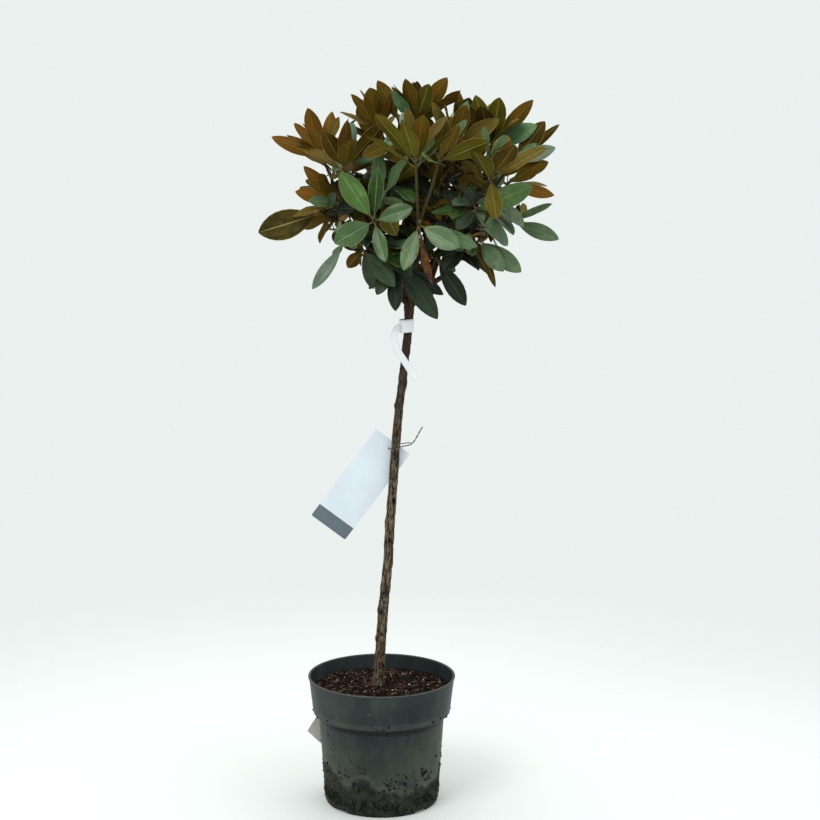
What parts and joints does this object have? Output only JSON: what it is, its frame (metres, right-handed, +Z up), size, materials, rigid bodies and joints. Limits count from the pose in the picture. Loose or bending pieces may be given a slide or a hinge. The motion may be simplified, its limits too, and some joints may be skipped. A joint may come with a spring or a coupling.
{
  "type": "potted rhododendron standard",
  "caption": "Young rhododendron trained as a standard in a nursery pot: bare leaning stem, short boughs and a round head of leaf whorls, with a blank hang card on a wire.",
  "frame": {"origin": "middle of the pot's flat underside, on the surface that the pot stands on", "axes": "+Z up along the pot's axis; +X to the right and +Y away from someone who faces the front of the plant; the stem leans towards +X"},
  "size_m": [0.5267, 0.5102, 1.3085],
  "materials": {
    "pot_plastic": "matte, dusty, with dried mud low down",
    "potting_mix": "loose, damp peat and bark chips",
    "bark": "rough, ridged and fissured",
    "foliage": "satin green above, brown felt on young leaves and beneath",
    "card": "smooth, coated",
    "wire": "dark, twisted",
    "label_film": "white film, a little milky"
  },
  "bodies": {
    "root": {"pot": "pot_plastic", "potting_soil": "potting_mix", "trunk": "bark", "bough_left": "bark", "bough_front_left": "bark", "bough_front": "bark", "bough_front_right": "bark", "bough_right": "bark", "bough_top_right": "bark", "bough_top": "bark", "bough_back_left": "bark", "bough_back": "bark", "bough_back_right": "bark", "foliage_left": "foliage", "foliage_front_left": "foliage", "foliage_front": "foliage", "foliage_front_right": "foliage", "foliage_right": "foliage", "foliage_top_right": "foliage", "foliage_top": "foliage", "foliage_back_left": "foliage", "foliage_back": "foliage", "foliage_back_right": "foliage", "foliage_skirt_front": "foliage", "foliage_skirt_back": "foliage", "hang_card": "card", "card_wire": "wire", "stem_label": "label_film", "pot_label": "card"}
  },
  "joints": []
}
